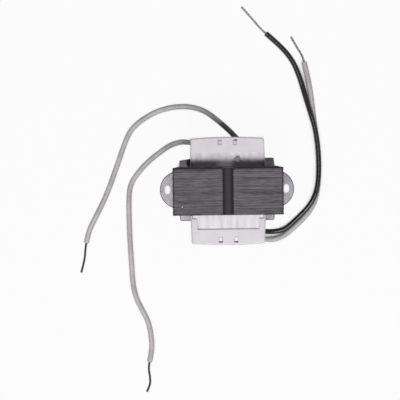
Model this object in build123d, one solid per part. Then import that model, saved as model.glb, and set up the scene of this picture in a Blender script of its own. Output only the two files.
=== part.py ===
from build123d import *
import math
import os

# A foot-mounted control transformer of about 40 VA, in millimetres.
# A stack of E sheets stands on a stack of I sheets, welded to each other and to a slotted foot.
# A moulded bobbin on the centre leg carries the primary below and the secondary above.
# A nylon cover snaps over each side of the coil, and two leads come out from under each cover.
# The origin is the middle of the underside, +X along the foot, +Y to the secondary side, +Z up.

# Laminations
centre_leg_width = 22.22
outer_leg_width = 11.11
window_width = 11.11
window_height = 33.33
yoke_height = 11.11
closing_bar_height = 11.11
sheet_pitch = 0.635
sheet_coating = 0.01
sheet_count = 45
sheet_slip = 0.12
groove_width = 6.3
groove_depth = 1.6

# Foot plate
plate_thickness = 1.5
plate_inset = 3.18
plate_overhang = 5.56
plate_corner_radius = 1.0
plate_edge_break = 0.45
ear_radius = 11.87
ear_reach = 9.54
slot_width = 4.0
slot_length = 6.6
slot_edge_distance = 4.77
sheared_corner_length = 7.4
sheared_corner_depth = 1.2

# Bobbin
bobbin_wall = 1.2
bobbin_leg_clearance = 0.25
bobbin_corner_radius = 1.0
flange_thickness = 1.3
flange_window_clearance = 0.15
flange_side_clearance = 1.1
flange_reach = 16.3
flange_corner_radius = 1.5
shoulder_core_gap = 0.3
shoulder_roof_gap = 0.2
shoulder_overhang = 0.45
divider_thickness = 1.2
divider_margin = 0.8
outlet_side_margin = 2.5
outlet_coil_clearance = 0.26

# Windings and their wrap
winding_build = 7.2
tape_thickness = 0.4
tape_margin = 1.2
tail_diameter = 0.6
tail_root = 0.3

# Covers
cover_wall = 1.0
cover_flange_gap = 0.15
cover_core_gap = 0.5
cover_roof_gap = 2.7
cover_end_gap = 0.4
cover_side_gap = 0.2
cover_end_bulge = 1.0
cover_draft = 1.7
cover_corner_radius = 1.1
cover_edge_radius = 1.0
cut_out_side_margin = 2.3
cut_out_reach = 9.1
snap_spacing = 9.3
snap_window_width = 2.5
snap_window_length = 3.4
snap_window_overrun = 0.75
hook_clearance = 0.2
hook_tip_height = 0.1
hook_recess = 0.1

# Weld seams
yoke_bead_width = 4.1
yoke_bead_height = 0.75
joint_bead_width = 3.2
joint_bead_height = 0.8
plate_bead_leg = 2.4
plate_bead_length = 12.0
plate_bead_spacing = 28.0

# Leads, their splices and their stripped ends
lead_diameter = 3.3
lead_floor_gap = 0.02
lead_cross_gap = 0.25
strand_diameter = 1.35
splice_radius = 1.6
splice_length = 9.0
crimp_radius = 1.25
crimp_length = 3.0
crimp_shoulder = 0.8
splice_flange_gap = 0.7
tail_lead_in = 2.6
black_tail_x = -7.8
white_tail_x = -11.4
side_tail_x = 6.4
strip_lead_in = 4.0

# Core, worked out from the sheets
sheet_thickness = sheet_pitch - sheet_coating
core_half_width = centre_leg_width / 2 + window_width + outer_leg_width
core_half_depth = sheet_count * sheet_pitch / 2
joint_z = plate_thickness + closing_bar_height
window_top_z = joint_z + window_height
core_top_z = window_top_z + yoke_height

# Foot, worked out from the core
plate_half_length = core_half_width - plate_inset
plate_half_width = core_half_depth + plate_overhang
ear_centre_x = core_half_width + ear_reach - ear_radius
slot_centre_x = core_half_width + ear_reach - slot_edge_distance

# Bobbin, worked out from the centre leg and the window
bore_half_x = centre_leg_width / 2 + bobbin_leg_clearance
bore_half_y = core_half_depth + bobbin_leg_clearance
tube_half_x = bore_half_x + bobbin_wall
tube_half_y = bore_half_y + bobbin_wall
flange_half_x = centre_leg_width / 2 + window_width - flange_side_clearance
flange_half_y = core_half_depth + flange_reach
flange_base_z = joint_z + flange_window_clearance
flange_top_z = window_top_z - flange_window_clearance
lower_floor_z = flange_base_z + flange_thickness
upper_ceiling_z = flange_top_z - flange_thickness
divider_base_z = (lower_floor_z + upper_ceiling_z - divider_thickness) / 2
divider_top_z = divider_base_z + divider_thickness
coil_half_y = tube_half_y + winding_build + tape_thickness
coil_half_x = tube_half_x + winding_build + tape_thickness
outlet_start_y = coil_half_y + outlet_coil_clearance

# Cover, worked out from the flange
cover_base_z = flange_base_z
cover_top_z = flange_top_z + cover_flange_gap + cover_wall
cover_start_y = core_half_depth + cover_core_gap
cover_corner_y = flange_half_y + cover_end_gap + cover_wall
cover_corner_x = flange_half_x + cover_side_gap + cover_wall
cut_out_half_x = flange_half_x - cut_out_side_margin
cut_out_end_y = core_half_depth + cut_out_reach
snap_start_y = flange_half_y + snap_window_overrun - snap_window_length

# The leads run in the channel between the coil and the cover's end wall
channel_y = (coil_half_y + flange_half_y + cover_end_gap) / 2
low_splice_z = lower_floor_z + splice_radius + splice_flange_gap
low_tail_z = lower_floor_z + tape_margin / 2
high_tail_z = divider_top_z + tape_margin / 2
high_splice_z = high_tail_z - tail_lead_in - splice_length
lead_rest_z = lead_diameter / 2 + lead_floor_gap
lead_over_z = lead_rest_z + lead_diameter + lead_cross_gap
strip_rest_z = strand_diameter / 2 + lead_floor_gap

# Lead routes as x, y from the middle of the channel, and z. Each starts at its splice's mouth.
primary_black_route = [
    (6.0, 1.6, low_splice_z),
    (10.8, 1.6, 15.9),
    (15.4, 1.6, 12.6),
    (19.6, 1.1, 8.0),
    (24.4, 0.2, 4.4),
    (30.6, 0.1, 3.4),
    (37.2, 1.8, 3.3),
    (44.2, 7.9, 3.6),
    (51.0, 14.4, 4.2),
    (55.7, 21.5, 5.1),
    (58.1, 30.6, lead_over_z),
    (58.7, 41.4, lead_over_z),
    (58.2, 53.8, lead_over_z),
    (56.4, 66.0, lead_over_z),
    (52.9, 77.4, 4.8),
    (49.9, 88.4, 2.0),
    (46.9, 99.0, lead_rest_z),
    (42.6, 109.3, lead_rest_z),
    (35.2, 118.2, lead_rest_z),
    (27.6, 124.8, lead_rest_z),
]
primary_white_route = [
    (6.0, -1.85, low_splice_z),
    (10.8, -1.9, 15.9),
    (15.3, -2.2, 12.4),
    (19.2, -3.5, 7.0),
    (23.8, -5.4, 2.9),
    (30.2, -6.0, lead_rest_z),
    (36.6, -3.4, lead_rest_z),
    (43.8, 3.3, lead_rest_z),
    (50.0, 9.3, lead_rest_z),
    (55.4, 16.6, lead_rest_z),
    (57.9, 25.2, lead_rest_z),
    (58.6, 36.0, lead_rest_z),
    (58.6, 47.6, lead_rest_z),
    (57.6, 59.4, lead_rest_z),
    (56.0, 70.6, lead_rest_z),
    (54.8, 82.0, lead_rest_z),
    (53.2, 94.4, lead_rest_z),
    (50.6, 105.5, lead_rest_z),
]
secondary_rear_route = [
    (11.4, 0.2, high_splice_z),
    (11.3, 0.3, 14.6),
    (10.6, 1.3, 9.6),
    (8.8, 3.1, 5.1),
    (6.2, 5.8, 2.5),
    (1.6, 10.7, lead_rest_z),
    (-5.2, 16.8, lead_rest_z),
    (-13.4, 23.2, lead_rest_z),
    (-23.3, 26.2, lead_rest_z),
    (-34.4, 25.9, lead_rest_z),
    (-45.1, 22.9, lead_rest_z),
    (-54.5, 17.5, lead_rest_z),
    (-61.0, 11.6, lead_rest_z),
    (-64.9, 3.5, lead_rest_z),
    (-70.3, -11.9, lead_rest_z),
    (-75.8, -26.7, lead_rest_z),
    (-80.0, -35.9, lead_rest_z),
    (-84.5, -44.4, lead_rest_z),
    (-89.1, -53.3, lead_rest_z),
    (-90.4, -60.1, lead_rest_z),
]
secondary_side_route = [
    (-6.0, 0.2, low_splice_z),
    (-10.6, 0.3, 15.8),
    (-15.0, 1.0, 12.2),
    (-19.0, 2.2, 7.8),
    (-23.6, 3.2, 4.0),
    (-29.2, 3.7, 1.8),
    (-36.0, 1.6, lead_rest_z),
    (-42.7, -3.0, lead_rest_z),
    (-50.0, -8.6, lead_rest_z),
    (-56.9, -15.9, lead_rest_z),
    (-62.2, -24.0, lead_rest_z),
    (-62.9, -34.8, lead_rest_z),
    (-62.8, -47.2, lead_rest_z),
    (-62.5, -60.0, lead_rest_z),
    (-61.7, -73.4, lead_rest_z),
    (-61.2, -85.2, lead_rest_z),
    (-59.5, -95.4, lead_rest_z),
    (-55.1, -104.2, lead_rest_z),
    (-51.2, -111.8, lead_rest_z),
    (-49.6, -122.0, lead_rest_z),
    (-49.3, -129.6, lead_rest_z),
    (-51.0, -137.1, lead_rest_z),
]

# Stripped ends, measured in the same way. Each goes straight on from its lead at first.
primary_black_strip = [(18.2, 135.2, 0.8), (11.9, 143.5, strip_rest_z)]
primary_white_strip = [(46.6, 115.4, 0.8), (43.0, 122.2, strip_rest_z)]
secondary_rear_strip = [(-91.7, -71.2, 0.8), (-94.1, -79.3, strip_rest_z)]
secondary_side_strip = [(-50.8, -147.4, 0.8), (-50.9, -152.6, strip_rest_z), (-53.1, -156.6, strip_rest_z)]


def e_sheet(drop):
    """The outline of one E sheet, with its yoke edge a little below the proudest sheet's."""
    top = core_top_z - drop
    leg = centre_leg_width / 2
    window = leg + window_width
    with BuildSketch() as sketch:
        with BuildLine():
            Polyline(
                (-core_half_width, joint_z),
                (-core_half_width, top),
                (-groove_width / 2, top),
                (-groove_width / 2, top - groove_depth),
                (groove_width / 2, top - groove_depth),
                (groove_width / 2, top),
                (core_half_width, top),
                (core_half_width, joint_z),
                (window, joint_z),
                (window, window_top_z),
                (leg, window_top_z),
                (leg, joint_z),
                (-leg, joint_z),
                (-leg, window_top_z),
                (-window, window_top_z),
                (-window, joint_z),
                close=True,
            )
        make_face()
    return sketch.sketch


def i_sheet():
    """The outline of one I sheet."""
    with BuildSketch() as sketch:
        with Locations((0, plate_thickness + closing_bar_height / 2)):
            Rectangle(2 * core_half_width, closing_bar_height)
    return sketch.sketch


def sheet_stack(outline):
    """Sheets side by side along Y, each slipped a little sideways as a hand-laid stack is."""
    sheets = []
    for index in range(sheet_count):
        side_slip = sheet_slip / 2 * math.cos(5.3 * index)
        drop = sheet_slip * abs(math.sin(9.7 * index))
        face_y = core_half_depth - index * sheet_pitch
        plane = Plane(origin=(side_slip, face_y, 0), x_dir=(1, 0, 0), z_dir=(0, -1, 0))
        sheets.append(extrude(plane * outline(drop), amount=sheet_thickness).solid())
    return Compound(children=sheets)


def bead_profile(width, height):
    """A weld bead's section: a flat chord with a low arc over it."""
    with BuildSketch() as sketch:
        with BuildLine():
            Line((-width / 2, 0), (width / 2, 0))
            ThreePointArc((width / 2, 0), (0, height), (-width / 2, 0))
        make_face()
    return sketch.sketch


def yoke_weld():
    """The seam along the groove, on the lamination edges at its floor."""
    floor_z = core_top_z - groove_depth
    plane = Plane(origin=(0, core_half_depth, floor_z), x_dir=(1, 0, 0), z_dir=(0, -1, 0))
    return extrude(plane * bead_profile(yoke_bead_width, yoke_bead_height), amount=2 * core_half_depth)


def joint_weld(side):
    """The seam over the joint of the E and I stacks, on one side of the core."""
    face_x = side * (core_half_width + sheet_slip / 2)
    plane = Plane(origin=(face_x, core_half_depth, joint_z), x_dir=(0, 0, -side), z_dir=(0, -1, 0))
    return extrude(plane * bead_profile(joint_bead_width, joint_bead_height), amount=2 * core_half_depth)


def plate_weld(side):
    """Two short fillets between the foot and the stack's outer face, under one cover."""
    with BuildSketch() as sketch:
        with BuildLine():
            Line((0, 0), (plate_bead_leg, 0))
            Line((0, 0), (0, plate_bead_leg))
            hollow = plate_bead_leg * 0.38
            ThreePointArc((plate_bead_leg, 0), (hollow, hollow), (0, plate_bead_leg))
        make_face()
    fillets = []
    for place in (-1, 1):
        start_x = place * plate_bead_spacing / 2 - side * plate_bead_length / 2
        plane = Plane(
            origin=(start_x, side * core_half_depth, plate_thickness),
            x_dir=(0, side, 0),
            z_dir=(side, 0, 0),
        )
        fillets.append(extrude(plane * sketch.sketch, amount=plate_bead_length).solid())
    return Compound(children=fillets)


def mounting_plate():
    """The stamped foot: a rectangle with a round slotted ear at each end."""
    with BuildPart() as part:
        with BuildSketch() as outline:
            Rectangle(2 * plate_half_length, 2 * plate_half_width)
            fillet(outline.vertices(), radius=plate_corner_radius)
            with Locations((-ear_centre_x, 0), (ear_centre_x, 0)):
                Circle(ear_radius)
            with BuildLine():
                Polyline(
                    (-plate_half_length, plate_half_width - sheared_corner_depth),
                    (-plate_half_length + sheared_corner_length, plate_half_width),
                    (-plate_half_length, plate_half_width),
                    close=True,
                )
            make_face(mode=Mode.SUBTRACT)
            with Locations((-slot_centre_x, 0), (slot_centre_x, 0)):
                SlotOverall(slot_length, slot_width, rotation=90, mode=Mode.SUBTRACT)
        extrude(amount=plate_thickness)
        top = part.faces().sort_by(Axis.Z)[-1]
        chamfer(top.outer_wire().edges(), length=plate_edge_break)
    return part.part


def rounded_ring(inner_x, inner_y, inner_radius, build):
    """A ring of one thickness round a rectangle with rounded corners."""
    with BuildSketch() as sketch:
        RectangleRounded(2 * (inner_x + build), 2 * (inner_y + build), inner_radius + build)
        RectangleRounded(2 * inner_x, 2 * inner_y, inner_radius, mode=Mode.SUBTRACT)
    return sketch.sketch


def bobbin():
    """Tube, two flanges and divider in one moulding, with snap hooks and a lead outlet each side.

    The top flange widens beside the core, where the cover's roof stops short and its side walls run on.
    """
    outlet_depth = flange_half_y - outlet_start_y
    outlet_width = 2 * (flange_half_x - outlet_side_margin)
    divider_y = 2 * (coil_half_y + divider_margin)
    hook_start = snap_start_y + hook_clearance
    hook_top = flange_top_z + cover_flange_gap + cover_wall - hook_recess
    shoulder_depth = cover_roof_gap - shoulder_core_gap - shoulder_roof_gap
    shoulder_y = core_half_depth + shoulder_core_gap + shoulder_depth / 2
    shoulder_width = 2 * (flange_half_x + shoulder_overhang)
    with BuildPart() as part:
        with BuildSketch(Plane.XY.offset(flange_base_z)):
            Rectangle(2 * tube_half_x, 2 * tube_half_y)
        extrude(amount=flange_top_z - flange_base_z)
        fillet(part.edges().filter_by(Axis.Z), radius=bobbin_corner_radius)
        with BuildSketch(Plane.XY.offset(flange_base_z)):
            RectangleRounded(2 * flange_half_x, 2 * flange_half_y, flange_corner_radius)
            with Locations((0, outlet_start_y + outlet_depth), (0, -outlet_start_y - outlet_depth)):
                Rectangle(outlet_width, 2 * outlet_depth, mode=Mode.SUBTRACT)
        extrude(amount=flange_thickness)
        with BuildSketch(Plane.XY.offset(upper_ceiling_z)):
            RectangleRounded(2 * flange_half_x, 2 * flange_half_y, flange_corner_radius)
            with Locations((0, shoulder_y), (0, -shoulder_y)):
                Rectangle(shoulder_width, shoulder_depth)
        extrude(amount=flange_thickness)
        with BuildSketch(Plane.XY.offset(divider_base_z)):
            RectangleRounded(2 * flange_half_x, divider_y, flange_corner_radius)
        extrude(amount=divider_thickness)
        for side in (-1, 1):
            for place in (-1, 1):
                plane = Plane(
                    origin=(place * snap_spacing / 2, 0, 0),
                    x_dir=(0, side, 0),
                    z_dir=(side, 0, 0),
                )
                with BuildSketch(plane):
                    with BuildLine():
                        Polyline(
                            (hook_start, flange_top_z),
                            (hook_start, hook_top),
                            (flange_half_y, flange_top_z + hook_tip_height),
                            (flange_half_y, flange_top_z),
                            close=True,
                        )
                    make_face()
                extrude(amount=snap_window_width / 2 - hook_clearance, both=True)
        with BuildSketch(Plane.XY.offset(flange_base_z)):
            Rectangle(2 * bore_half_x, 2 * bore_half_y)
        extrude(amount=flange_top_z - flange_base_z, mode=Mode.SUBTRACT)
    return part.part


def cover_outline(inset, start_y):
    """The cover's plan: sides that draw in towards an end wall with a slight bulge."""
    corner_x = cover_corner_x - inset
    corner_y = cover_corner_y - inset
    start_x = corner_x + (corner_y - start_y) * math.tan(math.radians(cover_draft))
    with BuildSketch() as sketch:
        with BuildLine():
            Polyline((-corner_x, corner_y), (-start_x, start_y), (start_x, start_y), (corner_x, corner_y))
            ThreePointArc((corner_x, corner_y), (0, corner_y + cover_end_bulge), (-corner_x, corner_y))
        make_face()
        fillet(sketch.vertices().group_by(Axis.Y)[-1], radius=cover_corner_radius - inset)
    return sketch.sketch


def roof_opening():
    """The cover's inner plan beside the core, where the roof is left out."""
    start_y = cover_start_y - cover_wall
    depth = core_half_depth + cover_roof_gap - start_y
    beside_core = Pos(0, start_y + depth / 2) * Rectangle(2 * core_half_width, depth)
    return cover_outline(cover_wall, start_y) & beside_core


def cover():
    """One nylon cover, open to the core and below, as it stands on the secondary side."""
    opening = roof_opening()
    with BuildPart() as part:
        with BuildSketch(Plane.XY.offset(cover_base_z)):
            add(cover_outline(0, cover_start_y))
        extrude(amount=cover_top_z - cover_base_z)
        roof = part.faces().sort_by(Axis.Z)[-1]
        fillet(roof.edges().sort_by(Axis.Y)[1:], radius=cover_edge_radius)
        with BuildSketch(Plane.XY.offset(cover_base_z)):
            add(cover_outline(cover_wall, cover_start_y - cover_wall))
        extrude(amount=cover_top_z - cover_wall - cover_base_z, mode=Mode.SUBTRACT)
        roof_cut = Plane.XY.offset(cover_top_z - 2 * cover_wall)
        cut_start = cover_start_y - cover_wall
        with BuildSketch(roof_cut):
            add(opening)
            with Locations((0, (cut_start + cut_out_end_y) / 2)):
                Rectangle(2 * cut_out_half_x, cut_out_end_y - cut_start)
            window_y = snap_start_y + snap_window_length / 2
            with Locations((-snap_spacing / 2, window_y), (snap_spacing / 2, window_y)):
                Rectangle(snap_window_width, snap_window_length)
        extrude(amount=3 * cover_wall, mode=Mode.SUBTRACT)
    return part.part


def place_route(route, side):
    """Route points with y measured from the lead channel's middle, as points of the part."""
    return [Vector(x, side * channel_y + y, z) for x, y, z in route]


def corner_radii(points):
    """A radius for each corner, as large as its two runs allow."""
    radii = []
    for before, corner, after in zip(points, points[1:], points[2:]):
        turn = (corner - before).get_angle(after - corner)
        shorter = min((corner - before).length, (after - corner).length)
        radii.append(0.45 * shorter / math.tan(math.radians(turn / 2)))
    return radii


def round_wire(points, diameter):
    """A round wire along straight runs joined by tangent arcs."""
    path = FilletPolyline(*points, radius=corner_radii(points))
    section = Plane(origin=path @ 0, z_dir=path % 0) * Circle(diameter / 2)
    wire = sweep(section, path=path)
    return wire, path.length


def lead(name, route, side):
    """One lead's insulation, with its length, radii and volume printed for checking."""
    points = place_route(route, side)
    wire, length = round_wire(points, lead_diameter)
    radii = " ".join(f"{radius:.0f}" for radius in corner_radii(points))
    share = wire.volume / (math.pi * lead_diameter**2 / 4 * length)
    print(f"{name}: {length:.1f} long, volume share {share:.4f}, radii {radii}")
    return wire


def strands(route, strip, side):
    """One stripped and twisted conductor end, from the face where its lead's insulation stops."""
    before, end = place_route(route, side)[-2:]
    straight_on = end + (end - before).normalized() * strip_lead_in
    return round_wire([end, straight_on] + place_route(strip, side), strand_diameter)[0]


def splice(route, side):
    """A crimped sleeve in line with its lead's first run."""
    mouth, following = place_route(route, side)[:2]
    crimp_start = (splice_length - crimp_length) / 2
    with BuildSketch(Plane.XZ) as sketch:
        with BuildLine():
            Polyline(
                (0, 0),
                (splice_radius, 0),
                (splice_radius, -crimp_start + crimp_shoulder),
                (crimp_radius, -crimp_start),
                (crimp_radius, -crimp_start - crimp_length),
                (splice_radius, -crimp_start - crimp_length - crimp_shoulder),
                (splice_radius, -splice_length),
                (0, -splice_length),
                close=True,
            )
        make_face()
    sleeve = revolve(sketch.sketch, Axis.Z)
    return Plane(origin=mouth, z_dir=following - mouth) * sleeve


def splice_back(route, side):
    """The far end of a splice, and a point on its axis a little beyond."""
    mouth, following = place_route(route, side)[:2]
    along = (following - mouth).normalized()
    back = mouth - along * splice_length
    return back, back - along * tail_lead_in


def low_tail(route, side, leave_x):
    """A wire from the lower coil, past the tape's edge and along the channel to a splice."""
    back, approach = splice_back(route, side)
    root_y = side * (coil_half_y - tape_thickness - tail_root)
    points = [Vector(leave_x, root_y, low_tail_z), Vector(leave_x, approach.Y, low_tail_z), approach, back]
    return round_wire(points, tail_diameter)[0]


def high_tail(route, side):
    """A wire from the upper coil straight into a standing splice."""
    back, approach = splice_back(route, side)
    root_y = side * (coil_half_y - tape_thickness - tail_root)
    points = [Vector(approach.X, root_y, approach.Z), approach, back]
    return round_wire(points, tail_diameter)[0]


def falling_tail(route, side, leave_x):
    """A wire from the upper coil, down the channel to a splice that lies low."""
    back, approach = splice_back(route, side)
    root_y = side * (coil_half_y - tape_thickness - tail_root)
    points = [
        Vector(leave_x, root_y, high_tail_z),
        Vector(leave_x, approach.Y, high_tail_z),
        Vector(leave_x, approach.Y, approach.Z + tail_lead_in),
        approach,
        back,
    ]
    return round_wire(points, tail_diameter)[0]


def winding(base_z, top_z, tails):
    """A coil between two flanges, with the wire's two ends."""
    ring = rounded_ring(tube_half_x, tube_half_y, bobbin_corner_radius, winding_build)
    coil = extrude(Plane.XY.offset(base_z) * ring, amount=top_z - base_z)
    for tail in tails:
        coil = coil + tail
    return coil


def tape(base_z, top_z):
    """The insulating wrap round one coil, short of the flanges where the wires leave."""
    ring = rounded_ring(
        tube_half_x + winding_build,
        tube_half_y + winding_build,
        bobbin_corner_radius + winding_build,
        tape_thickness,
    )
    return extrude(Plane.XY.offset(base_z + tape_margin) * ring, amount=top_z - base_z - 2 * tape_margin)


primary_side = -1
secondary_side = 1
secondary_cover = cover()
primary_tails = [
    low_tail(primary_black_route, primary_side, black_tail_x),
    low_tail(primary_white_route, primary_side, white_tail_x),
]
secondary_tails = [
    high_tail(secondary_rear_route, secondary_side),
    falling_tail(secondary_side_route, secondary_side, side_tail_x),
]

nodes = {
    "e_laminations": sheet_stack(e_sheet),
    "i_laminations": sheet_stack(lambda drop: i_sheet()),
    "yoke_weld": yoke_weld(),
    "joint_weld_left": joint_weld(-1),
    "joint_weld_right": joint_weld(1),
    "mounting_plate": mounting_plate(),
    "plate_weld_front": plate_weld(-1),
    "plate_weld_rear": plate_weld(1),
    "bobbin": bobbin(),
    "primary_winding": winding(lower_floor_z, divider_base_z, primary_tails),
    "secondary_winding": winding(divider_top_z, upper_ceiling_z, secondary_tails),
    "primary_tape": tape(lower_floor_z, divider_base_z),
    "secondary_tape": tape(divider_top_z, upper_ceiling_z),
    "secondary_cover": secondary_cover,
    "primary_cover": secondary_cover.rotate(Axis.Z, 180),
    "primary_lead_black": lead("primary_lead_black", primary_black_route, primary_side),
    "primary_lead_white": lead("primary_lead_white", primary_white_route, primary_side),
    "secondary_lead_rear": lead("secondary_lead_rear", secondary_rear_route, secondary_side),
    "secondary_lead_side": lead("secondary_lead_side", secondary_side_route, secondary_side),
    "primary_black_strands": strands(primary_black_route, primary_black_strip, primary_side),
    "primary_white_strands": strands(primary_white_route, primary_white_strip, primary_side),
    "secondary_rear_strands": strands(secondary_rear_route, secondary_rear_strip, secondary_side),
    "secondary_side_strands": strands(secondary_side_route, secondary_side_strip, secondary_side),
    "primary_black_splice": splice(primary_black_route, primary_side),
    "primary_white_splice": splice(primary_white_route, primary_side),
    "secondary_rear_splice": splice(secondary_rear_route, secondary_side),
    "secondary_side_splice": splice(secondary_side_route, secondary_side),
}

os.makedirs("parts", exist_ok=True)
for name, shape in nodes.items():
    export_step(shape, f"parts/{name}.step")
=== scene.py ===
import math

import bpy
import numpy as np
from mathutils import Matrix, Vector


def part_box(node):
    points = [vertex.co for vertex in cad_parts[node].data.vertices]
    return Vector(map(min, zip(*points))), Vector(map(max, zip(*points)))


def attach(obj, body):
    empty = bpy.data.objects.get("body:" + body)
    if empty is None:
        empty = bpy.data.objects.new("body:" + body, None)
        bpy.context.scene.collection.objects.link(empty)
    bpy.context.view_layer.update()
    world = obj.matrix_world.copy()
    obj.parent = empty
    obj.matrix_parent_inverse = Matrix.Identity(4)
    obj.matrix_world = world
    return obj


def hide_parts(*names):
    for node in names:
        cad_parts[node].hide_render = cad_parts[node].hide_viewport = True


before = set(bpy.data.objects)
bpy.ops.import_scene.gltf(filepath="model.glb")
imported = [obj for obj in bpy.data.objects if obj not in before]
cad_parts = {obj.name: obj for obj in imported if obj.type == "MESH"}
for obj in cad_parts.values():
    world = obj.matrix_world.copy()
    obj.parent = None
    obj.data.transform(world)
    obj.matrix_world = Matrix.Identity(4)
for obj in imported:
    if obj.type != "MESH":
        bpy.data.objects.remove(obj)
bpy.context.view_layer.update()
print("frame loaded")

# Everything below is in metres, and a size written in millimetres is multiplied by mm
mm = 0.001

# Camera: almost straight above the core, as a product photo of a flat lay
cameraSetup = {
    "place": (-0.01122, 0.0211, 0.927),
    "aim": (-0.01735, -0.00664, 0.0),
    "rollDegrees": 0.75,
    "focalPixels": 1448,
    "imagePixels": 400,
    "sensorMm": 36.0,
    "clip": (0.05, 20.0),
}


def placeCamera(setup):
    data = bpy.data.cameras.new("photoCamera")
    camera = bpy.data.objects.new("photoCamera", data)
    bpy.context.scene.collection.objects.link(camera)
    roll = math.radians(setup["rollDegrees"])
    forward = (Vector(setup["aim"]) - Vector(setup["place"])).normalized()
    right = forward.cross(Vector((math.sin(roll), math.cos(roll), 0))).normalized()
    up = right.cross(forward)
    turn = Matrix((right, up, -forward)).transposed()
    camera.matrix_world = Matrix.Translation(setup["place"]) @ turn.to_4x4()
    data.sensor_width = setup["sensorMm"]
    data.lens = setup["sensorMm"] * setup["focalPixels"] / setup["imagePixels"]
    data.clip_start, data.clip_end = setup["clip"]
    bpy.context.scene.camera = camera


placeCamera(cameraSetup)
print("camera placed")


def linear(hexColour):
    # sRGB hex to linear RGBA, by the sRGB curve
    parts = [int(hexColour[i:i + 2], 16) / 255 for i in (1, 3, 5)]
    return [p / 12.92 if p <= 0.04045 else ((p + 0.055) / 1.055) ** 2.4 for p in parts] + [1.0]


def socketValue(value):
    # A hex string becomes a linear colour, and anything else stays as it is
    return linear(value) if isinstance(value, str) else value


def addNode(tree, kind, sockets=None, **settings):
    # One node with its settings, its fixed values and its links
    node = tree.nodes.new(kind)
    for name, value in settings.items():
        setattr(node, name, value)
    for name, value in (sockets or {}).items():
        if isinstance(value, bpy.types.NodeSocket):
            tree.links.new(value, node.inputs[name])
        else:
            node.inputs[name].default_value = socketValue(value)
    return node


def startMaterial(name, **sockets):
    # A principled shader with its constants on its own sockets
    material = bpy.data.materials.new(name)
    material.use_nodes = True
    tree = material.node_tree
    shader = tree.nodes["Principled BSDF"]
    for socket, value in sockets.items():
        shader.inputs[socket.replace("_", " ")].default_value = socketValue(value)
    place = addNode(tree, "ShaderNodeTexCoord").outputs["Object"]
    return material, tree, shader, place


def finishSurface(tree, shader, colour, height=None, reliefMm=0.0, strength=0.0):
    # Joins the colour to the shader and, where there is a height, its relief
    tree.links.new(colour, shader.inputs["Base Color"])
    if height is not None:
        relief = {"Height": height, "Distance": reliefMm * mm, "Strength": strength}
        tree.links.new(addNode(tree, "ShaderNodeBump", relief).outputs[0], shader.inputs["Normal"])


def dress(node, material):
    # Gives a CAD node or a new piece its material
    data = node.data
    data.materials.clear()
    data.materials.append(material)


# Cords: the four leads. The lead channel's middle lies between the coil's wrap and the cover's end wall.
coverEndGap = 0.4 * mm
leadSetup = {
    "diameter": 3.3 * mm,
    "stripLeadIn": 4.0 * mm,
    "channelY": (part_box("primary_tape")[1].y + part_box("bobbin")[1].y + coverEndGap) / 2,
    "splineOrder": 3,
    "splineSteps": 10,
    "bevelSteps": 7,
}

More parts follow.
